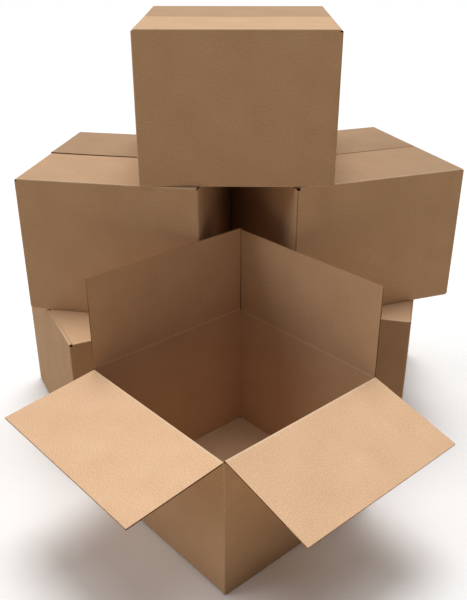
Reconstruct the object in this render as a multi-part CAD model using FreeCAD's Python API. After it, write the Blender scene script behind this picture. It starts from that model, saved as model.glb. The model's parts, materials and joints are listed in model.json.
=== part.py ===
import FreeCAD, Part
import math
import os

# A stack of set-up cardboard boxes, millimetres, +Z up, front towards -Y.
# The origin is the middle of the floor area that the whole group covers.
# Each box is one folded blank of single-wall board: a tube of four panels closed by a glued lap,
# with four flaps below and four above. The open box and the top box carry their loose flaps apart.

# Driving dimensions of one box
box_width = 508.0          # front and rear panels, outside
box_depth = 508.0          # side panels, outside
closed_height = 389.0      # floor to the top of the closed outer flaps
board = 4.0                # board thickness
fold_radius = 3.0          # outside radius of a fold
layer_gap = 0.3            # air between an inner flap and the outer flap on it
outer_seam = 2.0           # gap where the two outer flaps meet
inner_seam = 2.0           # gap where the two inner flaps meet
slot_inset = 5.0           # a flap's side stands this far in from the box's side
joint_slot_inset = 8.0     # the same at the corner with the glued lap
joint_gap = 3.0            # the lapped panel's cut edge stops this short of the corner
lap_width = 36.0           # glued lap inside that panel

# Folds that move: the wall ends in a round nose about the fold line, the flap is cut back from it
hinge_clearance = 0.3      # air between nose and flap
outward_limit = 135.0      # degrees from upright that a flap can be bent outwards
front_left_lean = 97.0     # degrees from upright, outwards, as the open box stands
front_right_lean = 105.5
rear_left_lean = 0.0
rear_right_lean = 0.0
closed_lean = -90.0        # the same for a flap folded in flat

# How the boxes stand, seen from above. The open box's rear corner is the layout's own zero.
open_turn = 41.7           # degrees, counter-clockwise
lower_left_turn = 25.8
lower_right_turn = -14.2
middle_left_turn = -10.1
middle_right_turn = 19.9
top_turn = -0.6
lower_left_x = -0.6        # front right corner of the lower left box, against the open box
lower_left_y = -1.1
lower_step = 34.0          # lower right box stands this far behind that corner
lower_clearance = 3.2      # air beside that corner
middle_along = 145.0       # middle left box's corner, along the open box's rear wall
middle_clearance = 7.5     # and behind that wall
middle_step = 5.0          # middle right box stands this far behind the middle left one
middle_touch = 0.3         # air where the two middle boxes meet at the back
top_shift_x = -29.0        # top box, from the middle of the gap between the middle boxes
top_shift_y = 14.0

# Worked out from the values above
outer_reach = (box_depth - outer_seam) / 2
inner_reach = (box_width - inner_seam) / 2
slot_depth = board + layer_gap + fold_radius
outer_axis_height = closed_height - board / 2
inner_axis_height = outer_axis_height - board - layer_gap
nose_radius = board / 2

UP = FreeCAD.Vector(0, 0, 1)
ZERO = FreeCAD.Vector(0, 0, 0)
FRONT, RIGHT, REAR, LEFT = 0, 1, 2, 3
OUTER_WALLS = (FRONT, REAR)
SAME_POINT = 1e-4          # share of the board within which two points are one


# Outlines
def rounded_face(corners, place):
    """Face from (p, q, radius) corners in order. A rounded corner is a right angle."""
    points = [FreeCAD.Vector(p, q, 0) for p, q, radius in corners]
    count = len(points)
    arcs = []
    for index, corner in enumerate(points):
        radius = corners[index][2]
        back = (points[index - 1] - corner).normalize()
        ahead = (points[(index + 1) % count] - corner).normalize()
        middle = corner
        if radius:
            diagonal = back + ahead
            middle = corner + diagonal * radius - diagonal.normalize() * radius
        arcs.append((corner + back * radius, middle, corner + ahead * radius))
    edges = []
    for index, (start, middle, end) in enumerate(arcs):
        if corners[index][2]:
            edges.append(Part.Arc(place(start), place(middle), place(end)).toShape())
        following = arcs[(index + 1) % count][0]
        if following.distanceToPoint(end) > board * SAME_POINT:
            edges.append(Part.LineSegment(place(end), place(following)).toShape())
    return Part.Face(Part.Wire(edges))


def flat(z):
    """Plan view at height z."""
    return lambda point: FreeCAD.Vector(point.x, point.y, z)


def across(a):
    """Section across a wall, a along it: p runs inwards, q up."""
    return lambda point: FreeCAD.Vector(a, point.x, point.y)


# Walls. Each is made as the front one, then turned to its side of the box.
def wall_length(side):
    return box_width if side in OUTER_WALLS else box_depth


def flap_reach(side):
    return outer_reach if side in OUTER_WALLS else inner_reach


def to_side(shape, side):
    """Turn a piece made on the front wall to another side."""
    starts = {
        FRONT: (0, 0),
        RIGHT: (box_width, 0),
        REAR: (box_width, box_depth),
        LEFT: (0, box_depth),
    }
    turned = shape.copy()
    turned.rotate(ZERO, UP, 90 * side)
    turned.translate(FreeCAD.Vector(starts[side][0], starts[side][1], 0))
    return turned


def slot_insets(side, joint_right):
    """How far a flap's two sides stand in, first at the wall's start, then at its end."""
    wide = {(FRONT, 1), (RIGHT, 0)} if joint_right else {(FRONT, 0), (LEFT, 1)}
    return [joint_slot_inset if (side, end) in wide else slot_inset for end in (0, 1)]


def along_wall(corners, side, joint_right):
    """A section run along a wall between its slots."""
    near, far = slot_insets(side, joint_right)
    face = rounded_face(corners, across(near))
    return to_side(face.extrude(FreeCAD.Vector(wall_length(side) - near - far, 0, 0)), side)


def wall_levels(side):
    """Underside of the bottom flap, and top of the closed top flap."""
    tuck = 0.0 if side in OUTER_WALLS else board + layer_gap
    return tuck, closed_height - tuck


def closed_panel(side, joint_right):
    """Wall with its bottom flap and its top flap folded in."""
    low, high = wall_levels(side)
    reach = flap_reach(side)
    corners = [
        (0, low, fold_radius),
        (reach, low, 0),
        (reach, low + board, 0),
        (board, low + board, 0),
        (board, high - board, 0),
        (reach, high - board, 0),
        (reach, high, 0),
        (0, high, fold_radius),
    ]
    return along_wall(corners, side, joint_right)


def hinged_panel(side, joint_right):
    """Wall with its bottom flap folded in and a round nose where its top flap turns."""
    low, high = wall_levels(side)
    reach = flap_reach(side)
    corners = [
        (0, low, fold_radius),
        (reach, low, 0),
        (reach, low + board, 0),
        (board, low + board, 0),
        (board, high, nose_radius),
        (0, high, nose_radius),
    ]
    return along_wall(corners, side, joint_right)


def between_levels(plan, margin):
    """A plan run up from this far above the floor to this far below the closed height."""
    solid = plan.extrude(FreeCAD.Vector(0, 0, closed_height - 2 * margin))
    solid.translate(FreeCAD.Vector(0, 0, margin))
    return solid


def tube(joint_right):
    """The four panels and the glued lap. The three folded corners stand up between the slots."""
    outside = [
        (joint_gap, 0, 0),
        (box_width, 0, fold_radius),
        (box_width, box_depth, fold_radius),
        (0, box_depth, fold_radius),
        (0, board, fold_radius),
        (joint_gap, board, 0),
    ]
    inside = [
        (lap_width, board, 0),
        (box_width - board, board, 0),
        (box_width - board, box_depth - board, 0),
        (board, box_depth - board, 0),
        (board, 2 * board, 0),
        (lap_width, 2 * board, 0),
    ]
    plan = rounded_face(outside, flat(0)).cut(rounded_face(inside, flat(0)))
    ring = between_levels(plan, slot_depth)
    tall = between_levels(plan, board + layer_gap)
    far_x, far_y = box_width - slot_inset, box_depth - slot_inset
    for x, y in ((far_x, 0), (far_x, far_y), (0, far_y)):
        column = Part.makeBox(slot_inset, slot_inset, closed_height, FreeCAD.Vector(x, y, 0))
        ring = ring.fuse(tall.common(column))
    if joint_right:
        middle = FreeCAD.Vector(box_width / 2, 0, 0)
        ring = ring.mirror(middle, FreeCAD.Vector(1, 0, 0))
    return ring


def box_body(hinged_sides, joint_right):
    """One blank, folded and glued. Loose top flaps on the hinged sides are left to loose_flap."""
    pieces = [tube(joint_right)]
    for side in (FRONT, RIGHT, REAR, LEFT):
        panel = hinged_panel if side in hinged_sides else closed_panel
        pieces.append(panel(side, joint_right))
    return pieces[0].multiFuse(pieces[1:]).removeSplitter()


# Loose flaps
def hinge_height(side):
    return outer_axis_height if side in OUTER_WALLS else inner_axis_height


def loose_flap(side, lean, joint_right):
    """A top flap at its lean. Its root is bevelled, so that it clears the wall out to the limit."""
    height = hinge_height(side)
    reach = flap_reach(side) - nose_radius
    clear = nose_radius + hinge_clearance
    bevel = math.radians(outward_limit - 90)
    knee = clear * (1 - math.cos(bevel)) / math.sin(bevel)
    outer_start = (clear + nose_radius * math.sin(bevel)) / math.cos(bevel)
    corners = [
        (0, height + outer_start, 0),
        (nose_radius + knee, height + clear, 0),
        (board, height + clear, 0),
        (board, height + reach, 0),
        (0, height + reach, 0),
    ]
    near, far = slot_insets(side, joint_right)
    face = rounded_face(corners, across(near))
    flap = face.extrude(FreeCAD.Vector(wall_length(side) - near - far, 0, 0))
    flap.rotate(FreeCAD.Vector(0, nose_radius, height), FreeCAD.Vector(1, 0, 0), lean)
    return to_side(flap, side)


# Layout
def spot(anchor, x, y, tier, turn):
    """Where a box stands: the anchor is the point of the box, from its front left corner, at x, y."""
    return {"anchor": anchor, "x": x, "y": y, "z": tier * closed_height, "turn": turn}


def settle(shape, where):
    moved = shape.copy()
    moved.translate(FreeCAD.Vector(-where["anchor"][0], -where["anchor"][1], 0))
    moved.rotate(ZERO, UP, where["turn"])
    moved.translate(FreeCAD.Vector(where["x"], where["y"], where["z"]))
    return moved


def gap_in_front():
    """Width between the middle boxes' front corners, with the right one's rear left corner,
    which is round, just off the left one's side."""
    left = math.radians(middle_left_turn)
    right = math.radians(middle_right_turn)
    deep = box_depth - fold_radius
    corner_x = fold_radius * math.cos(right) - deep * math.sin(right)
    corner_y = middle_step + fold_radius * math.sin(right) + deep * math.cos(right)
    off_wall = fold_radius + middle_touch
    return (off_wall - corner_y * math.sin(left)) / math.cos(left) - corner_x


def layout():
    """Spots of the six boxes, each tied to the box that it stands beside."""
    open_angle = math.radians(open_turn)
    left_angle = math.radians(lower_left_turn)
    lower_right_x = lower_left_x - lower_step * math.tan(left_angle) + lower_clearance
    middle_x = -middle_along * math.cos(open_angle) - middle_clearance * math.sin(open_angle)
    middle_y = -middle_along * math.sin(open_angle) + middle_clearance * math.cos(open_angle)
    middle_gap = gap_in_front()
    top_x = middle_x + middle_gap / 2 + top_shift_x
    top_y = middle_y + middle_step / 2 + top_shift_y
    front_right_corner = (box_width, 0)
    return {
        "open_box": spot((box_width, box_depth), 0, 0, 0, open_turn),
        "lower_left_box": spot(front_right_corner, lower_left_x, lower_left_y, 0, lower_left_turn),
        "lower_right_box": spot(
            (0, 0), lower_right_x, lower_left_y + lower_step, 0, lower_right_turn
        ),
        "middle_left_box": spot(front_right_corner, middle_x, middle_y, 1, middle_left_turn),
        "middle_right_box": spot(
            (0, 0), middle_x + middle_gap, middle_y + middle_step, 1, middle_right_turn
        ),
        "top_box": spot((box_width / 2, 0), top_x, top_y, 2, top_turn),
    }


# The open box's flaps: name, wall, lean. Its front corner points at the viewer.
OPEN_FLAPS = (
    ("front_right_flap", FRONT, front_right_lean),
    ("rear_right_flap", RIGHT, rear_right_lean),
    ("rear_left_flap", REAR, rear_left_lean),
    ("front_left_flap", LEFT, front_left_lean),
)
TOP_FLAPS = (
    ("top_front_flap", FRONT, closed_lean),
    ("top_rear_flap", REAR, closed_lean),
)


def build_all():
    """Every node in the layout's own place."""
    spots = layout()
    shapes = {
        "open_box": settle(box_body((FRONT, RIGHT, REAR, LEFT), True), spots["open_box"]),
        "top_box": settle(box_body(OUTER_WALLS, True), spots["top_box"]),
    }
    closed = box_body((), False)
    for name in ("lower_left_box", "lower_right_box", "middle_left_box", "middle_right_box"):
        shapes[name] = settle(closed, spots[name])
    for owner, flaps in (("open_box", OPEN_FLAPS), ("top_box", TOP_FLAPS)):
        for name, side, lean in flaps:
            shapes[name] = settle(loose_flap(side, lean, True), spots[owner])
    return shapes


def ground_centre(shapes):
    """Middle of the floor area under all the nodes."""
    bounds = FreeCAD.BoundBox()
    for shape in shapes.values():
        bounds.add(shape.BoundBox)
    return FreeCAD.Vector(bounds.Center.x, bounds.Center.y, 0)


nodes = build_all()
origin = ground_centre(nodes)
os.makedirs("parts", exist_ok=True)
for node, shape in nodes.items():
    shape.translate(origin * -1)
    shape.exportStep("parts/" + node + ".step")
    print(node, "solids", len(shape.Solids), "valid", shape.isValid(), "volume", round(shape.Volume))
print("origin in the layout", round(origin.x, 3), round(origin.y, 3))
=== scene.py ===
import json
import math

import bmesh
import bpy
import numpy as np
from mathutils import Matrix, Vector

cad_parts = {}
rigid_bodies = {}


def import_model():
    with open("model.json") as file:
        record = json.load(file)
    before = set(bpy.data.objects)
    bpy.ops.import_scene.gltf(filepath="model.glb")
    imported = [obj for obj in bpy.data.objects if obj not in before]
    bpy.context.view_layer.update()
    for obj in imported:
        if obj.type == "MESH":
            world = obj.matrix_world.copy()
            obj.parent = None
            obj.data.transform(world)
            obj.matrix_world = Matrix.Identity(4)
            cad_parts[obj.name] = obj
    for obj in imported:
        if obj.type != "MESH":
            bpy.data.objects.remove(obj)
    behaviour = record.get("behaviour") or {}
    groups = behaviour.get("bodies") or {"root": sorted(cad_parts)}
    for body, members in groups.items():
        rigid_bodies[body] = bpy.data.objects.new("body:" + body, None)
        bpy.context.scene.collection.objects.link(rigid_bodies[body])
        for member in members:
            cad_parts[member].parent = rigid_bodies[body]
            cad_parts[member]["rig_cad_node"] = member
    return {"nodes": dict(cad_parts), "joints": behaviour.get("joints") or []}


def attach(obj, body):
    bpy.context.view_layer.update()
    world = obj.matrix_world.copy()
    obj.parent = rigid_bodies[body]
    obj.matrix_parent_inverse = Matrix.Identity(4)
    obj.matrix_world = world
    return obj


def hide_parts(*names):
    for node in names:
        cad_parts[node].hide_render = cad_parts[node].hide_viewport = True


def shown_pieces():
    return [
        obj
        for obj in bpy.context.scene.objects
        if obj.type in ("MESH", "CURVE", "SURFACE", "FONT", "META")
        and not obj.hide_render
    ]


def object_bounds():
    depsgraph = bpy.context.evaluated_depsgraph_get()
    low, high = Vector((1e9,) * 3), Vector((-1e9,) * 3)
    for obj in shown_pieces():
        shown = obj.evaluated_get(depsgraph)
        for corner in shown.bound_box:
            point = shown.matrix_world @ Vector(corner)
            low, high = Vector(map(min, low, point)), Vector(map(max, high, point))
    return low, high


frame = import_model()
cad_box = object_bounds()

# A stack of kraft cardboard boxes with one open box in front, metres.
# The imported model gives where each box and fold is. This script makes the board: its bulges, its
# two liners with the fluted sheet between them, its creases, its paper, and the light on it.

# The board, a single wall of C flute
board = 0.004              # liner to liner
liner = 0.0005             # thickness of a liner
medium = 0.0004            # thickness of the fluted sheet
flute_pitch = 0.0079       # flute to flute
flute_points = 10          # points along one flute
layer_gap = 0.0003         # air between an inner flap and the outer flap on it
closed_height = 0.389      # a closed box
slot_reach = 0.0083        # the open slot at the glued corner, drawn in painted shade, lies within this of it
slot_deep = 0.0076         # and within this of the top or bottom
corner_reach = 0.009       # the slots between flaps lie within this of a box's corners
liner_reach = 0.0002       # a face this near to a liner's place is that liner
hair = 0.000001            # points this near to each other are one

# A loose flap
barrel_steps = 8           # its rolled fold, over the wall's own nose
nose_share = 0.94          # the wall's nose is pressed in under that fold
nose_margin = 0.00001      # slack in telling which points are the nose's
span_step = 0.03           # spacing of the cuts along it
fold_cuts = [0.003, 0.008] # the first cuts beyond its fold line
core_start = 0.004         # from here on its liners are apart
core_root = 0.006          # its fluted sheet starts here
core_inset = 0.0006        # and stops this short of either end
met_width = 0.00095        # how much wider a flap is where it meets the one beside it
met_run = 0.12             # a flap lies true over this length from there
met_shade_width = 0.0012          # its cut end, drawn dark in painted shade where the two flaps meet

# How the boxes have given way: gentle bulges of the walls and waviness of the panels
grid_step = 0.042          # spacing of the cuts over a wall
crease_step = 0.003        # the first cut beside a fold
seam_step = 0.012          # cuts beside a lid's seam
seam_run = 5 * seam_step   # an outer flap has lifted over this width
wall_bulge = 0.0022        # outward, at a wall's middle
lid_dip = 0.0012           # downward, at a lid's middle
ripple = 0.0007            # slow waviness of any panel
flap_ripple = 0.8          # share of it on a loose flap
bulge_fullness = 0.8       # below one, a bulge is fuller than a sine
face_power = 6             # how fast a bulge fades from a wall into the board across it
lid_from = 0.9             # share of the height at which the lid's dip sets in
lid_blend = 0.07           # and over which it comes on
flat_angle = 0.5           # degrees: faces flatter than this to each other are one
box_edge_angle = 25        # degrees: a sharper edge than this stays hard on a box
flap_edge_angle = 35       # and on a flap
turns_a_degree = 20        # how finely a box's turn is looked for

# The paper's pattern. A noise's scale is one over its size in metres
cloud_scale = 9.0          # clouds of tone about 110 mm wide
fleck_scale = 430.0        # flecks about 2.3 mm wide
wear_and_highlight_scale = 60.0           # the pale band along a fold, crease wear and painted highlight, changes about every 17 mm
medium_scale = 260.0       # mottle of the fluted sheet, about 4 mm
cut_scale = 420.0          # mottle of a cut edge, about 2.4 mm
wear_and_highlight_narrow = 0.0030        # width of the pale band beside a fold, crease wear and painted highlight, where it is least
wear_and_highlight_wide = 0.0062          # and most
wear_and_highlight_strength = 0.7         # how pale that band is at the fold itself
side_fold_share = 1.9      # a side fold's band is this much narrower
side_fold_off = 0.0006     # and starts this far off
flute_relief = 0.00006     # height of the washboarding
fibre_relief = 0.000006    # height of the fibres
beyond_wear_and_highlight = 1.0         # a crease distance too far for any wear or painted highlight
drawn_medium = 1.5         # the fluted sheet is drawn this much thicker on a cut edge, to show
drawn_liner = 1.4          # and a liner this much

# Camera, as the photograph was taken
focal_length = 46.49       # millimetres on a 36 mm sensor
camera_place = (0.0057, -1.8500, 1.4134)
camera_pitch = 27.36       # degrees below level
camera_shift = (0.0008, 0.0215)

# Light: name, degrees round from the front, degrees above level, width in degrees, strength
SUNS = (
    ("rear_light", 180.0, 75.0, 30.0, 1.66),
    ("overhead_light", 0.0, 89.0, 40.0, 0.66),
    ("left_light", -90.0, 30.0, 40.0, 0.86),
    ("rear_right_light", 135.0, 45.0, 40.0, 0.44),
)
sky_strength = 0.11
floor_half = 12.0

# Paper colours
KRAFT = "#CDA987"
KRAFT_DARK = "#B9936F"
KRAFT_PALE = "#DAB998"
# pale band at the folds: crease wear and painted highlight
WEAR_AND_HIGHLIGHT_PALE = "#E9D0B1"
FLUTED = "#B08860"
CUT_EDGE = "#9C7650"
# painted shade: the dark of the flutes' hollows, of the slot at the glued corner and of the flaps' met ends
PAINTED_HOLLOW_SHADE = "#2A1C12"
FLOOR_BOUNCE = "#D5C6B1"
WHITE = "#FFFFFF"


# Colours and small helpers
def linear(hex_colour):
    """An sRGB hex value as linear red, green, blue and full alpha."""
    channels = [int(hex_colour[i:i + 2], 16) / 255 for i in (1, 3, 5)]
    bright = [c / 12.92 if c <= 0.04045 else ((c + 0.055) / 1.055) ** 2.4 for c in channels]
    return (*bright, 1.0)


def node(tree, kind, inputs=None, links=None, **settings):
    """Add a node, set its properties and sockets, and link its inputs from other sockets."""
    made = tree.nodes.new(kind)
    for key, value in settings.items():
        setattr(made, key, value)
    for key, value in (inputs or {}).items():
        made.inputs[key].default_value = value
    for key, source in (links or {}).items():
        tree.links.new(source, made.inputs[key])
    return made


def new_object(name, data):
    """A new object in the scene, at the origin."""
    made = bpy.data.objects.new(name, data)
    bpy.context.scene.collection.objects.link(made)
    return made


def smooth_by_angle(mesh, degrees):
    """Smooth shading with a hard edge wherever two faces meet at more than this angle."""
    for polygon in mesh.polygons:
        polygon.use_smooth = True
    mesh.set_sharp_from_angle(angle=math.radians(degrees))


# Materials
def blank_material(name):
    """A new material and its node tree, emptied."""
    material = bpy.data.materials.new(name)
    material.use_nodes = True
    material.node_tree.nodes.clear()
    return material, material.node_tree


def paper(name, base, dark, pale, roughness, fluting, speckle, clouding):
    """Kraft paper: pressed fibres, matt, mottled, with the flutes beneath faintly telegraphed."""
    material, tree = blank_material(name)
    place = node(tree, "ShaderNodeUVMap", uv_map="board")
    where = place.outputs["UV"]

    # Slow clouds of tone, a hand's width across, from uneven pulp
    clouds = node(
        tree, "ShaderNodeTexNoise", {"Scale": cloud_scale, "Detail": 3.0, "Roughness": 0.55},
        {"Vector": where},
    )
    cloud_mix = node(
        tree, "ShaderNodeMapRange",
        {"From Min": 0.3, "From Max": 0.7, "To Min": 0.0, "To Max": 1.0},
        {"Value": clouds.outputs["Fac"]},
    )
    body = node(
        tree, "ShaderNodeMix", {6: linear(dark), 7: linear(pale)}, {0: cloud_mix.outputs["Result"]},
        data_type="RGBA",
    )
    toned = node(
        tree, "ShaderNodeMix", {0: clouding, 6: linear(base)}, {7: body.outputs[2]}, data_type="RGBA"
    )

    # Fibre flecks: real ones are under a millimetre, drawn 2 to 3 mm so that they show
    stretch = node(tree, "ShaderNodeMapping", {"Scale": (1.0, 0.6, 1.0)}, {"Vector": where})
    flecks = node(
        tree, "ShaderNodeTexNoise", {"Scale": fleck_scale, "Detail": 2.0, "Roughness": 0.6},
        {"Vector": stretch.outputs["Vector"]},
    )
    fleck_mix = node(
        tree, "ShaderNodeMapRange",
        {"From Min": 0.32, "From Max": 0.68, "To Min": -speckle, "To Max": speckle},
        {"Value": flecks.outputs["Fac"]},
    )
    fleck_level = node(
        tree, "ShaderNodeMath", {1: 1.0}, {0: fleck_mix.outputs["Result"]}, operation="ADD"
    )
    speckled = node(
        tree, "ShaderNodeVectorMath",
        {}, {0: toned.outputs[2], "Scale": fleck_level.outputs["Value"]}, operation="SCALE",
    )

    # Washboarding: each flute's tip holds the liner up a little, and faint bands of painted shade are drawn
    # across the flutes
    axes = node(tree, "ShaderNodeSeparateXYZ", {}, {"Vector": place.outputs["UV"]})
    turns = node(
        tree, "ShaderNodeMath", {1: 2 * math.pi / flute_pitch}, {0: axes.outputs["X"]}, operation="MULTIPLY"
    )
    wave = node(tree, "ShaderNodeMath", {}, {0: turns.outputs["Value"]}, operation="SINE")
    flute_shade_bands = node(
        tree, "ShaderNodeMath", {1: fluting, 2: 1.0}, {0: wave.outputs["Value"]}, operation="MULTIPLY_ADD"
    )
    # Painted light and shade: each panel's brightness factor, lighter or darker for how the light falls on
    # it
    painted_light_and_shade = node(tree, "ShaderNodeAttribute", attribute_name="painted_light_and_shade")
    flute_and_painted_light_level = node(
        tree, "ShaderNodeMath", {}, {0: flute_shade_bands.outputs["Value"], 1: painted_light_and_shade.outputs["Fac"]},
        operation="MULTIPLY",
    )
    flute_shaded = node(
        tree, "ShaderNodeVectorMath",
        {}, {0: speckled.outputs["Vector"], "Scale": flute_and_painted_light_level.outputs["Value"]}, operation="SCALE",
    )

    # Folds are paler, partly from crease wear and partly a painted highlight along them: the crease map
    # holds the distance to the nearest fold
    crease = node(tree, "ShaderNodeUVMap", uv_map="crease")
    crease_axes = node(tree, "ShaderNodeSeparateXYZ", {}, {"Vector": crease.outputs["UV"]})
    side_fold = node(
        tree, "ShaderNodeMath", {1: side_fold_share, 2: side_fold_off}, {0: crease_axes.outputs["X"]},
        operation="MULTIPLY_ADD",
    )
    nearest = node(
        tree, "ShaderNodeMath", {}, {0: side_fold.outputs["Value"], 1: crease_axes.outputs["Y"]},
        operation="MINIMUM",
    )
    wear_and_highlight_noise = node(tree, "ShaderNodeTexNoise", {"Scale": wear_and_highlight_scale, "Detail": 2.0}, {"Vector": where})
    wear_and_highlight_width = node(
        tree, "ShaderNodeMapRange",
        {"From Min": 0.3, "From Max": 0.7, "To Min": wear_and_highlight_narrow, "To Max": wear_and_highlight_wide},
        {"Value": wear_and_highlight_noise.outputs["Fac"]},
    )
    wear_and_highlight = node(
        tree, "ShaderNodeMapRange", {"From Min": 0.0, "To Min": wear_and_highlight_strength, "To Max": 0.0},
        {"Value": nearest.outputs["Value"], "From Max": wear_and_highlight_width.outputs["Result"]},
        interpolation_type="SMOOTHSTEP",
    )
    worn_and_highlit = node(
        tree, "ShaderNodeMix", {7: linear(WEAR_AND_HIGHLIGHT_PALE)},
        {0: wear_and_highlight.outputs["Result"], 6: flute_shaded.outputs["Vector"]}, data_type="RGBA",
    )

    # Height: the flutes beneath and the fibres
    fibre_height = node(
        tree, "ShaderNodeMath", {1: fibre_relief}, {0: flecks.outputs["Fac"]}, operation="MULTIPLY"
    )
    height = node(
        tree, "ShaderNodeMath", {1: flute_relief},
        {0: wave.outputs["Value"], 2: fibre_height.outputs["Value"]}, operation="MULTIPLY_ADD",
    )
    bump = node(
        tree, "ShaderNodeBump", {"Strength": 0.3, "Distance": 1.0}, {"Height": height.outputs["Value"]}
    )
    shader = node(
        tree, "ShaderNodeBsdfPrincipled",
        {"Roughness": roughness, "IOR": 1.45, "Specular IOR Level": 0.12},
        {"Base Color": worn_and_highlit.outputs[2], "Normal": bump.outputs["Normal"]},
    )
    node(tree, "ShaderNodeOutputMaterial", {}, {"Surface": shader.outputs["BSDF"]})
    return material


def raw_paper(name, colour, roughness, scale):
    """Unfinished paper seen on edge: rough, mottled, no flutes of its own."""
    material, tree = blank_material(name)
    place = node(tree, "ShaderNodeTexCoord")
    grain = node(
        tree, "ShaderNodeTexNoise", {"Scale": scale, "Detail": 3.0, "Roughness": 0.6},
        {"Vector": place.outputs["Object"]},
    )
    level = node(
        tree, "ShaderNodeMapRange", {"From Min": 0.3, "From Max": 0.7, "To Min": 0.8, "To Max": 1.15},
        {"Value": grain.outputs["Fac"]},
    )
    shade = node(
        tree, "ShaderNodeVectorMath", {0: linear(colour)[:3]}, {"Scale": level.outputs["Result"]},
        operation="SCALE",
    )
    bump = node(
        tree, "ShaderNodeBump", {"Strength": 0.5, "Distance": 0.0002}, {"Height": grain.outputs["Fac"]}
    )
    shader = node(
        tree, "ShaderNodeBsdfPrincipled",
        {"Roughness": roughness, "IOR": 1.45, "Specular IOR Level": 0.1},
        {"Base Color": shade.outputs["Vector"], "Normal": bump.outputs["Normal"]},
    )
    node(tree, "ShaderNodeOutputMaterial", {}, {"Surface": shader.outputs["BSDF"]})
    return material


def cut_board(name, edge, painted_hollow, roughness):
    """Board seen on its cut edge: two pale liners and a wave of fluted sheet over hollows drawn in painted
    shade.
    """
    material, tree = blank_material(name)
    place = node(tree, "ShaderNodeUVMap", uv_map="section")
    axes = node(tree, "ShaderNodeSeparateXYZ", {}, {"Vector": place.outputs["UV"]})
    turns = node(
        tree, "ShaderNodeMath", {1: 2 * math.pi / flute_pitch}, {0: axes.outputs["X"]}, operation="MULTIPLY"
    )
    wave = node(tree, "ShaderNodeMath", {}, {0: turns.outputs["Value"]}, operation="SINE")
    rise = node(
        tree, "ShaderNodeMath", {1: board / 2 - liner}, {0: wave.outputs["Value"]}, operation="MULTIPLY"
    )
    off = node(
        tree, "ShaderNodeMath", {}, {0: axes.outputs["Y"], 1: rise.outputs["Value"]}, operation="SUBTRACT"
    )
    far = node(tree, "ShaderNodeMath", {}, {0: off.outputs["Value"]}, operation="ABSOLUTE")
    sheet = node(
        tree, "ShaderNodeMath", {1: drawn_medium * medium}, {0: far.outputs["Value"]},
        operation="LESS_THAN",
    )
    depth = node(tree, "ShaderNodeMath", {}, {0: axes.outputs["Y"]}, operation="ABSOLUTE")
    skin = node(
        tree, "ShaderNodeMath", {1: board / 2 - drawn_liner * liner}, {0: depth.outputs["Value"]},
        operation="GREATER_THAN",
    )
    solid = node(
        tree, "ShaderNodeMath", {}, {0: sheet.outputs["Value"], 1: skin.outputs["Value"]},
        operation="MAXIMUM",
    )
    colour = node(
        tree, "ShaderNodeMix", {6: linear(painted_hollow), 7: linear(edge)}, {0: solid.outputs["Value"]},
        data_type="RGBA",
    )
    shader = node(
        tree, "ShaderNodeBsdfPrincipled",
        {"Roughness": roughness, "IOR": 1.45, "Specular IOR Level": 0.1},
        {"Base Color": colour.outputs[2]},
    )
    node(tree, "ShaderNodeOutputMaterial", {}, {"Surface": shader.outputs["BSDF"]})
    return material


# Kraft liner, calendered: tan and matt, the face that light and camera meet
kraft_liner = paper(
    "kraft_liner_calendered", KRAFT, KRAFT_DARK, KRAFT_PALE,
    roughness=0.82, fluting=0.012, speckle=0.14, clouding=0.22,
)
# Fluting medium, corrugated: darker recycled pulp, seen only at the open ends of the flutes
fluting_medium = raw_paper("fluting_medium_corrugated", FLUTED, roughness=0.9, scale=medium_scale)
# Die-cut edge: compressed fibres, duller than the liner's face
cut_edge = raw_paper("kraft_board_die_cut_edge", CUT_EDGE, roughness=0.92, scale=cut_scale)
# The same edge on a box's own panels: the flutes are drawn on it, with painted shade for the hollows between
# them
fluted_edge = cut_board("kraft_board_flute_ends_painted_hollows", CUT_EDGE, PAINTED_HOLLOW_SHADE, roughness=0.92)
# Painted shade: die-cut board drawn dark down in a slot or where two flaps meet, where the eye sees a dark
# hole or line
painted_shade_edge = raw_paper("kraft_board_painted_shade", PAINTED_HOLLOW_SHADE, roughness=0.95, scale=cut_scale)


# Smooth made-up unevenness, the same on every run
def wander(a, b, seed):
    """A slow wave over two lengths in metres, within about one either way."""
    return (
        0.50 * math.sin(7.1 * a + 2.3 * seed) * math.cos(6.3 * b - 1.1 * seed)
        + 0.30 * math.sin(13.7 * a - 9.4 * b + 0.7 * seed)
        + 0.20 * math.cos(21.0 * b + 17.0 * a + 3.1 * seed)
    )


# The boxes
def turn_of(points):
    """A box's turn in radians: the direction that its vertices line up with best."""
    flat = np.array([(p.x, p.y) for p in points])
    best, best_size = 0.0, math.inf
    last = 45 * turns_a_degree
    for step in range(-last, last + 1):
        angle = math.radians(step / turns_a_degree)
        c, s = math.cos(angle), math.sin(angle)
        turned = flat @ np.array([[c, -s], [s, c]])
        size = np.ptp(turned[:, 0]) * np.ptp(turned[:, 1])
        if size < best_size:
            best, best_size = angle, size
    return best


def local_frame(cad, turn):
    """The box's own x and y directions and its front left corner, from the node's vertices."""
    along = Vector((math.cos(turn), math.sin(turn), 0))
    across = Vector((-math.sin(turn), math.cos(turn), 0))
    points = [v.co for v in cad.data.vertices]
    low_x = min(p.dot(along) for p in points)
    high_x = max(p.dot(along) for p in points)
    low_y = min(p.dot(across) for p in points)
    high_y = max(p.dot(across) for p in points)
    low_z = min(p.z for p in points)
    corner = along * low_x + across * low_y + Vector((0, 0, low_z))
    return along, across, corner, high_x - low_x, high_y - low_y


def cut_places(length, seam):
    """Where a panel is cut: close beside each fold, at even steps between, and beside the seam."""
    count = 2 * round(length / grid_step / 2)
    places = [length * k / count for k in range(1, count) if 2 * k != count]
    for near in (crease_step, 3 * crease_step):
        places += [near, length - near]
    for off in (seam_step, 3 * seam_step) if seam else (0.0,):
        places += [length / 2 - off, length / 2 + off]
    return sorted(set(places))


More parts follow.
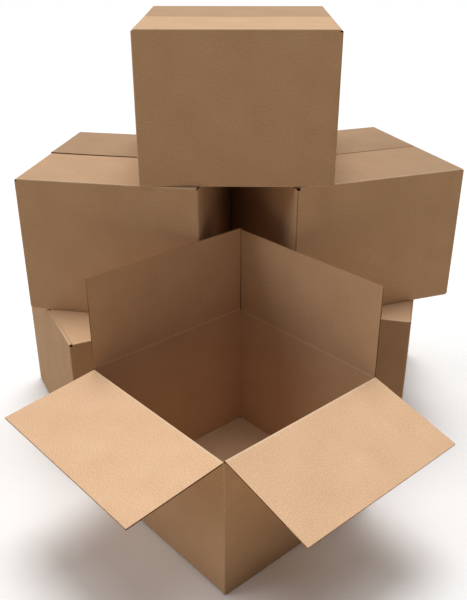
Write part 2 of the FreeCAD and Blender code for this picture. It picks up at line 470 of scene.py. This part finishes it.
def cut_up(work, axis, places):
    """Cut the whole mesh by planes across one axis."""
    normal = Vector([1.0 if k == axis else 0.0 for k in range(3)])
    for place in places:
        geometry = work.verts[:] + work.edges[:] + work.faces[:]
        bmesh.ops.bisect_plane(
            work, geom=geometry, dist=hair, plane_co=normal * place, plane_no=normal
        )


def bell(value, length):
    """Nothing at both ends, one in the middle."""
    share = min(max(value / length, 0.0), 1.0)
    return math.sin(math.pi * share) ** bulge_fullness


def lid_level(x, y, width, depth, seed):
    """How far a lid has sunk at a place on it."""
    return bell(x, width) * bell(y, depth) * (lid_dip + ripple * wander(x, y, seed + 9))


def seam_shift(x, y, width, depth, seam):
    """An outer flap's free edge drawn back from the seam and lifted: the move along y, and up."""
    back, lift_left, lift_right = seam
    away = abs(y - depth / 2)
    near = max(0.0, 1 - away / seam_run) ** 2
    side = math.copysign(1, y - depth / 2)
    lift = lift_left + (lift_right - lift_left) * x / width
    return side * back * near, (lift * near if side > 0 else 0.0)


def pressed_nose(x, y, z, width, depth, hinged):
    """The wall's nose at a loose flap, pressed in towards its fold line."""
    half = board / 2
    for side in hinged:
        fold_z = closed_height - half if side in (0, 2) else closed_height - 3 * half - layer_gap
        span_place = (y, width - x, depth - y, x)[side]
        if span_place < board + nose_margin and z > fold_z:
            off = (span_place - half) * (1 - nose_share)
            z -= (z - fold_z) * (1 - nose_share)
            x += (0, off, 0, -off)[side]
            y += (-off, 0, off, 0)[side]
    return x, y, z


def given_way(p, width, depth, box):
    """Where a point of the box's board has moved to: walls bulged, lid dipped, folds as they were."""
    x, y, z = pressed_nose(*p, width, depth, box["hinged"])
    up = bell(z, closed_height)
    across_x = bell(x, width)
    across_y = bell(y, depth)
    toward_right = 2 * x / width - 1
    toward_rear = 2 * y / depth - 1
    side_push = abs(toward_right) ** face_power * math.copysign(1, toward_right)
    end_push = abs(toward_rear) ** face_power * math.copysign(1, toward_rear)
    seed = box["seed"]
    moved_x = x + side_push * up * across_y * (wall_bulge + ripple * wander(y, z, seed))
    moved_y = y + end_push * up * across_x * (wall_bulge + ripple * wander(x, z, seed + 5))
    moved_z = z
    if box["lid"]:
        share = min(max((z / closed_height - lid_from) / lid_blend, 0.0), 1.0)
        moved_z -= share * lid_level(x, y, width, depth, seed)
        if z > closed_height - board - layer_gap / 2 and box["seam"]:
            along_y, up_z = seam_shift(x, y, width, depth, box["seam"])
            moved_y += along_y
            moved_z += up_z
    return Vector((moved_x, moved_y, moved_z))


def on_liner(place, length, levels):
    """Whether a face at this place across the board is one of its liners."""
    return any(min(abs(place - k), abs(length - place - k)) < liner_reach for k in levels)


def cut_face(face, width, depth):
    """The kind of cut edge that a face is: one that lies level, one that stands, or none."""
    middle = face.calc_center_median()
    normal = face.normal
    steep = max(range(3), key=lambda k: abs(normal[k]))
    if abs(normal[steep]) < 0.95:
        return None
    x, y, z = middle
    walls = (0.0, board, 2 * board)
    layers = (0.0, board, board + layer_gap, 2 * board + layer_gap)
    if steep == 2:
        corner = min(x, width - x) < corner_reach and min(y, depth - y) < corner_reach
        liners = (0.0,) if corner else layers
        return None if on_liner(z, closed_height, liners) else "level"
    place, length = (x, width) if steep == 0 else (y, depth)
    return None if on_liner(place, length, walls) else "standing"


def section_of(p, kind, steep):
    """Where a point of a cut edge lies in the board: along its flutes' wave, and through it."""
    x, y, z = p
    if kind == "level":
        return (x + y, 0.0)
    low = min(z, closed_height - z)
    middle = board / 2 if low < board + layer_gap / 2 else board * 1.5 + layer_gap
    return (x if steep == 1 else y, low - middle)


def panel_marks(p, normal, width, depth):
    """(across flutes, along flutes), (distance to the side edges, distance to the folds)."""
    x, y, z = p
    side_x = min(x, width - x)
    side_y = min(y, depth - y)
    fold_z = min(z, closed_height - z)
    steep = max(range(3), key=lambda k: abs(normal[k]))
    if steep == 2:
        return (x, y), (side_x, side_y)
    place, length = (x, width) if steep == 0 else (y, depth)
    faces_in = (normal[steep] > 0) == (place < length / 2)
    along, side = (y, side_y) if steep == 0 else (x, side_x)
    return (along, z), (beyond_wear_and_highlight if faces_in else side, fold_z)


def map_faces(work, width, depth, painted_lights_and_shades, glued_x):
    """Pattern, crease and section maps, each panel's painted light and shade, and the cut edges' materials:
    drawn flute ends with painted hollows, and painted shade at the glued corner.
    """
    board_map = work.loops.layers.uv.new("board")
    crease_map = work.loops.layers.uv.new("crease")
    section_map = work.loops.layers.uv.new("section")
    painted_light_and_shade_layer = work.faces.layers.float.new("painted_light_and_shade")
    for face in work.faces:
        kind = cut_face(face, width, depth)
        steep = max(range(3), key=lambda k: abs(face.normal[k]))
        middle = face.calc_center_median()
        beside = abs(middle.x - glued_x) < slot_reach and middle.y < slot_reach
        in_shaded_slot = beside and min(middle.z, closed_height - middle.z) < slot_deep
        # Faces at the glued corner near the top or bottom take painted shade, the dark of its slot; other
        # cut edges take the drawn flute ends
        face.material_index = 2 if in_shaded_slot else (1 if kind else 0)
        on_lid = middle.z > closed_height / 2 and steep == 2
        panel = (2 if middle.y > depth / 2 else 1) if on_lid else 0
        face[painted_light_and_shade_layer] = painted_lights_and_shades[panel]
        for loop in face.loops:
            pattern, edges = panel_marks(loop.vert.co, face.normal, width, depth)
            loop[board_map].uv = pattern
            loop[crease_map].uv = edges
            if kind:
                loop[section_map].uv = section_of(loop.vert.co, kind, steep)


def dressed_box(name, box):
    """The board of one box: the CAD blank cut up, given way, and mapped for its paper."""
    cad = frame["nodes"][name]
    box["frame"] = local_frame(cad, turn_of([v.co for v in cad.data.vertices]))
    along, across, corner, width, depth = box["frame"]
    work = bmesh.new()
    work.from_mesh(cad.data)
    bmesh.ops.remove_doubles(work, verts=work.verts, dist=hair)
    for vert in work.verts:
        offset = vert.co - corner
        vert.co = Vector((offset.dot(along), offset.dot(across), offset.z))
    bmesh.ops.dissolve_limit(
        work, angle_limit=math.radians(flat_angle), verts=work.verts, edges=work.edges
    )
    cut_up(work, 0, cut_places(width, False))
    cut_up(work, 1, cut_places(depth, True))
    cut_up(work, 2, cut_places(closed_height, False))
    bmesh.ops.triangulate(work, faces=[f for f in work.faces if len(f.verts) > 4])
    work.normal_update()
    map_faces(work, width, depth, box["painted_lights_and_shades"], box["glued"] * width)
    for vert in work.verts:
        moved = given_way(vert.co, width, depth, box)
        vert.co = corner + along * moved.x + across * moved.y + Vector((0, 0, moved.z))
    mesh = bpy.data.meshes.new(name + "_board")
    work.to_mesh(mesh)
    work.free()
    smooth_by_angle(mesh, box_edge_angle)
    for material in (kraft_liner, fluted_edge, painted_shade_edge):
        mesh.materials.append(material)
    made = new_object(name + "_board", mesh)
    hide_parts(name)
    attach(made, "stack")


# Each box: its own unevenness, which walls carry loose flaps, whether its lid dips,
# how its seam stands open (drawn back, lifted at the left, at the right), at which front corner it
# is glued (0 left, 1 right), and the painted light and shade on each panel, a brightness factor on
# its paper for how the light falls there: walls, front half of the lid, rear half
BOXES = {
    "open_box": {
        "seed": 1, "hinged": (0, 1, 2, 3), "lid": False, "seam": None, "glued": 1, "painted_lights_and_shades": (1.0, 1.0, 1.0),
    },
    "top_box": {
        "seed": 2, "hinged": (0, 2), "lid": True, "seam": None, "glued": 1, "painted_lights_and_shades": (1.04, 1.0, 0.97),
    },
    "middle_left_box": {
        "seed": 3, "hinged": (), "lid": True, "seam": (0.0019, 0.0018, 0.0008), "glued": 0,
        "painted_lights_and_shades": (1.0, 0.89, 0.68),
    },
    "middle_right_box": {
        "seed": 4, "hinged": (), "lid": True, "seam": (0.0006, 0.0008, 0.0), "glued": 0,
        "painted_lights_and_shades": (1.10, 0.78, 0.69),
    },
    "lower_left_box": {
        "seed": 5, "hinged": (), "lid": True, "seam": None, "glued": 0, "painted_lights_and_shades": (0.85, 1.12, 1.0),
    },
    "lower_right_box": {
        "seed": 6, "hinged": (), "lid": True, "seam": None, "glued": 0, "painted_lights_and_shades": (0.83, 1.12, 1.0),
    },
}
for box_name, box in BOXES.items():
    dressed_box(box_name, box)


# The loose flaps
joints = {joint["child"]: joint for joint in frame["joints"]}


def flap_frame(name):
    """Fold line, outward direction and normal of a flap, with its two ends and its reach."""
    joint = joints[name]
    pivot = Vector(joint["pos_m"])
    axis = Vector(joint["axis"]).normalized()
    points = [v.co - pivot for v in frame["nodes"][name].data.vertices]
    middle = sum(points, Vector()) / len(points)
    out = (middle - axis * middle.dot(axis)).normalized()
    normal = axis.cross(out)
    ends = [p.dot(axis) for p in points]
    reach = max(p.dot(out) for p in points)
    return pivot, axis, out, normal, min(ends), max(ends), reach


def warp(a, s, length, reach, flap):
    """How far an open flap's sheet stands off its plane: none at the fold, a slow bow beyond it.
    An outer flap bows only outward and an inner one only inward, so they close on each other."""
    share = min(max(s / reach, 0.0), 1.0)
    ease = share * share * (3 - 2 * share)
    side = 2 * a / length
    free = 1.0
    if flap["met"]:
        free = min(1.0, (1 - side * flap["met"]) * length / 2 / met_run)
    waves = ripple * flap_ripple * (1 + wander(a, s, flap["seed"]))
    stand = flap["bow"] * (1 - side * side) + waves
    return flap["way"] * free * ease * max(stand, 0.0)


def lid_warp(point):
    """How far a closed flap's sheet has sunk, with the lid that it is part of."""
    lid = BOXES["top_box"]
    along, across, corner, width, depth = lid["frame"]
    offset = point - corner
    return -lid_level(offset.dot(along), offset.dot(across), width, depth, lid["seed"])


def dressed_flap(name, flap):
    """A flap of real board: two liners joined by their rolled fold, with room between them for the fluted
    sheet.
    """
    pivot, axis, out, normal, low, high, reach = flap_frame(name)
    if flap["met"] < 0:
        low -= met_width
    if flap["met"] > 0:
        high += met_width
    reach += flap["longer"]
    length = high - low
    centre = (low + high) / 2
    half = board / 2
    closed = name.startswith("top")

    def at(a, s, n):
        if closed:
            lift = lid_warp(pivot + axis * a + out * s)
        else:
            lift = warp(a - centre, s, length, reach, flap)
        return pivot + axis * a + out * s + normal * (n + lift)

    work = bmesh.new()
    board_map = work.loops.layers.uv.new("board")
    crease_map = work.loops.layers.uv.new("crease")
    painted_light_and_shade_layer = work.faces.layers.float.new("painted_light_and_shade")

    # Skin: from one liner's inner face round its free edge, its outer face, the barrel, and back
    spans = max(2, round(reach / span_step))
    stations = sorted(set(fold_cuts + [reach * k / spans for k in range(spans + 1)]))
    section = []
    for s in reversed(stations):
        section.append((s, half))
    for k in range(1, barrel_steps):
        angle = math.pi * k / barrel_steps
        section.append((-half * math.sin(angle), half * math.cos(angle)))
    for s in stations:
        section.append((s, -half))
    for s in reversed(stations):
        if s > core_start:
            section.append((s, -half + liner))
    section.append((core_start, 0.0))
    for s in stations:
        if s > core_start:
            section.append((s, half - liner))

    # The section repeated from end to end, with one cut more at an end that meets another flap, for a strip
    # of painted shade there
    steps = max(2, round(length / span_step))
    across = [low + length * k / steps for k in range(steps + 1)]
    if flap["met"]:
        across.append(low + met_shade_width if flap["met"] < 0 else high - met_shade_width)
    across.sort()
    columns = len(across) - 1
    met_shade_column = {-1: 0, 0: None, 1: columns - 1}[flap["met"]]
    grid = [[work.verts.new(at(a, s, n)) for s, n in section] for a in across]
    count = len(section)
    for k in range(columns):
        for m in range(count):
            after = (m + 1) % count
            corners = (grid[k][m], grid[k + 1][m], grid[k + 1][after], grid[k][after])
            face = work.faces.new(corners)
            face[painted_light_and_shade_layer] = flap["painted_light_and_shade"]
            places = [(k, m), (k + 1, m), (k + 1, after), (k, after)]
            for loop, (column, spot) in zip(face.loops, places):
                s = section[spot][0]
                loop[board_map].uv = (across[column] - low, s)
                loop[crease_map].uv = (beyond_wear_and_highlight, max(s, 0.0))
            tip = min(section[m][0], section[after][0]) > reach - hair
            # The strip at an end that meets another flap takes painted shade; the free edge takes the cut
            # edge
            face.material_index = 2 if k == met_shade_column else (1 if tip else 0)
    for column in (0, columns):
        ring = grid[column] if column else list(reversed(grid[column]))
        face = work.faces.new(ring)
        face.material_index = 1
    bmesh.ops.triangulate(work, faces=[f for f in work.faces if len(f.verts) > 4])
    bmesh.ops.recalc_face_normals(work, faces=work.faces)
    mesh = bpy.data.meshes.new(name + "_board")
    work.to_mesh(mesh)
    work.free()
    smooth_by_angle(mesh, flap_edge_angle)
    for material in (kraft_liner, cut_edge, painted_shade_edge):
        mesh.materials.append(material)
    made = new_object(name + "_board", mesh)
    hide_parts(name)
    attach(made, name)
    return at, low, high, reach


# Fluted sheet, as a Geometry Nodes tree: a wavy strip carried along the flutes
def fluting_tree():
    """Grid to wave: named inputs for its sizes. The tree ends in Realize Instances and Set Material."""
    tree = bpy.data.node_groups.new("fluted_sheet", "GeometryNodeTree")
    face = tree.interface
    sizes = (
        ("Length", 0.5), ("Reach", 0.25), ("Wave height", 0.0013), ("Pitch", flute_pitch),
        ("Thickness", medium),
    )
    for label, value in sizes:
        face.new_socket(label, in_out="INPUT", socket_type="NodeSocketFloat").default_value = value
    for label, value in (("Points across", 600), ("Points along", 9)):
        face.new_socket(label, in_out="INPUT", socket_type="NodeSocketInt").default_value = value
    face.new_socket("Material", in_out="INPUT", socket_type="NodeSocketMaterial")
    face.new_socket("Geometry", in_out="OUTPUT", socket_type="NodeSocketGeometry")
    given = tree.nodes.new("NodeGroupInput").outputs
    sheet = node(
        tree, "GeometryNodeMeshGrid", {},
        {
            "Size X": given["Length"], "Size Y": given["Reach"],
            "Vertices X": given["Points across"], "Vertices Y": given["Points along"],
        },
    )
    here = node(tree, "GeometryNodeInputPosition")
    parts = node(tree, "ShaderNodeSeparateXYZ", {}, {"Vector": here.outputs["Position"]})
    ratio = node(tree, "ShaderNodeMath", {}, {0: parts.outputs["X"], 1: given["Pitch"]}, operation="DIVIDE")
    turns = node(tree, "ShaderNodeMath", {1: 2 * math.pi}, {0: ratio.outputs["Value"]}, operation="MULTIPLY")
    wave = node(tree, "ShaderNodeMath", {}, {0: turns.outputs["Value"]}, operation="SINE")
    lift = node(
        tree, "ShaderNodeMath", {}, {0: wave.outputs["Value"], 1: given["Wave height"]}, operation="MULTIPLY"
    )
    rise = node(tree, "ShaderNodeCombineXYZ", {}, {"Z": lift.outputs["Value"]})
    waved = node(
        tree, "GeometryNodeSetPosition", {},
        {"Geometry": sheet.outputs["Mesh"], "Offset": rise.outputs["Vector"]},
    )
    solid = node(
        tree, "GeometryNodeExtrudeMesh", {"Individual": False},
        {"Mesh": waved.outputs["Geometry"], "Offset Scale": given["Thickness"]}, mode="FACES",
    )
    turned = node(tree, "GeometryNodeFlipFaces", {}, {"Mesh": waved.outputs["Geometry"]})
    both = node(tree, "GeometryNodeJoinGeometry")
    tree.links.new(solid.outputs["Mesh"], both.inputs["Geometry"])
    tree.links.new(turned.outputs["Mesh"], both.inputs["Geometry"])
    closed = node(
        tree, "GeometryNodeMergeByDistance", {"Distance": hair}, {"Geometry": both.outputs["Geometry"]}
    )
    real = node(tree, "GeometryNodeRealizeInstances", {}, {"Geometry": closed.outputs["Geometry"]})
    dressed = node(
        tree, "GeometryNodeSetMaterial", {},
        {"Geometry": real.outputs["Geometry"], "Material": given["Material"]},
    )
    node(tree, "NodeGroupOutput", {}, {"Geometry": dressed.outputs["Geometry"]})
    return tree


fluting = fluting_tree()


def fluted_core(name, at, low, high, reach):
    """The fluted sheet inside one flap, open at the free edge, bent with the flap's own warp."""
    length = high - low - 2 * core_inset
    deep = reach - core_root
    wave_height = (board - 2 * liner - medium) / 2
    seed_mesh = bpy.data.meshes.new(name + "_fluting_seed")
    carrier = new_object(name + "_fluting", seed_mesh)
    modifier = carrier.modifiers.new("fluting", "NODES")
    modifier.node_group = fluting
    wanted = {
        "Length": length, "Reach": deep, "Wave height": wave_height, "Pitch": flute_pitch,
        "Thickness": medium, "Points across": int(length / flute_pitch * flute_points) + 1,
        "Points along": max(3, round(deep / span_step) + 1), "Material": fluting_medium,
    }
    for item in fluting.interface.items_tree:
        if item.in_out == "INPUT" and item.name in wanted:
            modifier[item.identifier] = wanted[item.name]
    depsgraph = bpy.context.evaluated_depsgraph_get()
    mesh = bpy.data.meshes.new_from_object(carrier.evaluated_get(depsgraph))
    carrier.modifiers.remove(modifier)
    for vert in mesh.vertices:
        a = (low + high) / 2 + vert.co.x
        s = core_root + deep / 2 + vert.co.y
        vert.co = at(a, s, vert.co.z - medium / 2)
    carrier.data = mesh
    mesh.name = name + "_fluting"
    for polygon in mesh.polygons:
        polygon.use_smooth = True
    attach(carrier, name)


# Each flap: its own unevenness, how far and which way it bows (1 outward, for the outer flaps, -1
# inward), the end at which it meets the flap beside it (-1 start, 1 end), how much longer it was
# cut, and its painted light and shade, a brightness factor on its paper for how the light falls there
FLAPS = {
    "front_left_flap": {"seed": 11, "bow": 0.0006, "way": -1, "met": 0, "longer": 0, "painted_light_and_shade": 1.25},
    "front_right_flap": {"seed": 12, "bow": 0.0006, "way": 1, "met": 0, "longer": 0, "painted_light_and_shade": 1.24},
    "rear_left_flap": {"seed": 13, "bow": 0.0004, "way": 1, "met": -1, "longer": 0, "painted_light_and_shade": 1.0},
    "rear_right_flap": {"seed": 14, "bow": 0.0004, "way": -1, "met": 1, "longer": 0, "painted_light_and_shade": 0.97},
    "top_front_flap": {"seed": 15, "bow": 0, "way": 1, "met": 0, "longer": 0.0009, "painted_light_and_shade": 1.06},
    "top_rear_flap": {"seed": 16, "bow": 0, "way": 1, "met": 0, "longer": 0.0009, "painted_light_and_shade": 0.80},
}
for flap_name, flap in FLAPS.items():
    place_on, start, end, tip_reach = dressed_flap(flap_name, flap)
    fluted_core(flap_name, place_on, start, end, tip_reach)


def keep_inside(mesh):
    """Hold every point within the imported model's own outline."""
    low, high = cad_box
    for vert in mesh.vertices:
        vert.co = [min(max(vert.co[k], low[k]), high[k]) for k in range(3)]


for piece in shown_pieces():
    if "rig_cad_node" not in piece:
        keep_inside(piece.data)


# Floor, light and camera
def floor():
    """A plain white floor that keeps the shadow, and bounces a warmer, duller light onto the board."""
    mesh = bpy.data.meshes.new("floor")
    near, far = -floor_half, floor_half
    mesh.from_pydata([(near, near, 0), (far, near, 0), (far, far, 0), (near, far, 0)], [], [(0, 1, 2, 3)])
    material, tree = blank_material("floor_pale_plain")
    path = node(tree, "ShaderNodeLightPath")
    colour = node(
        tree, "ShaderNodeMix", {6: linear(FLOOR_BOUNCE), 7: linear(WHITE)}, {0: seen_rays(tree, path)},
        data_type="RGBA",
    )
    matt = node(tree, "ShaderNodeBsdfDiffuse", {}, {"Color": colour.outputs[2]})
    node(tree, "ShaderNodeOutputMaterial", {}, {"Surface": matt.outputs["BSDF"]})
    mesh.materials.append(material)
    new_object("floor", mesh)


def seen_rays(tree, path):
    """One for the rays that show a thing: from the camera, or by way of gloss or glass."""
    two = node(
        tree, "ShaderNodeMath", {}, {0: path.outputs["Is Camera Ray"], 1: path.outputs["Is Glossy Ray"]},
        operation="MAXIMUM",
    )
    three = node(
        tree, "ShaderNodeMath", {}, {0: two.outputs["Value"], 1: path.outputs["Is Transmission Ray"]},
        operation="MAXIMUM",
    )
    return three.outputs["Value"]


def sun(name, around, above, width, strength):
    """Soft light from a wide patch of ceiling, the same over the whole floor."""
    light = bpy.data.lights.new(name, "SUN")
    light.angle = math.radians(width)
    light.energy = strength
    made = new_object(name, light)
    a, e = math.radians(around), math.radians(above)
    source = Vector((math.sin(a) * math.cos(e), -math.cos(a) * math.cos(e), math.sin(e)))
    made.rotation_mode = "QUATERNION"
    made.rotation_quaternion = (-source).to_track_quat("-Z", "Y")


def sky():
    """Even white light from all round; pure white where it is seen."""
    world = bpy.data.worlds.new("soft_sky")
    world.use_nodes = True
    tree = world.node_tree
    tree.nodes.clear()
    path = node(tree, "ShaderNodeLightPath")
    level = node(
        tree, "ShaderNodeMapRange", {"To Min": sky_strength, "To Max": 1.0}, {"Value": seen_rays(tree, path)}
    )
    light = node(
        tree, "ShaderNodeBackground", {"Color": linear(WHITE)}, {"Strength": level.outputs["Result"]}
    )
    node(tree, "ShaderNodeOutputWorld", {}, {"Surface": light.outputs["Background"]})
    bpy.context.scene.world = world


def camera():
    lens = bpy.data.cameras.new("camera")
    lens.sensor_width = 36.0
    lens.lens = focal_length
    lens.shift_x, lens.shift_y = camera_shift
    lens.clip_end = 50.0
    made = new_object("camera", lens)
    made.location = camera_place
    made.rotation_euler = (math.radians(90 - camera_pitch), 0, 0)
    bpy.context.scene.camera = made


floor()
sky()
for patch in SUNS:
    sun(*patch)
camera()
bpy.context.scene.view_settings.view_transform = "Standard"
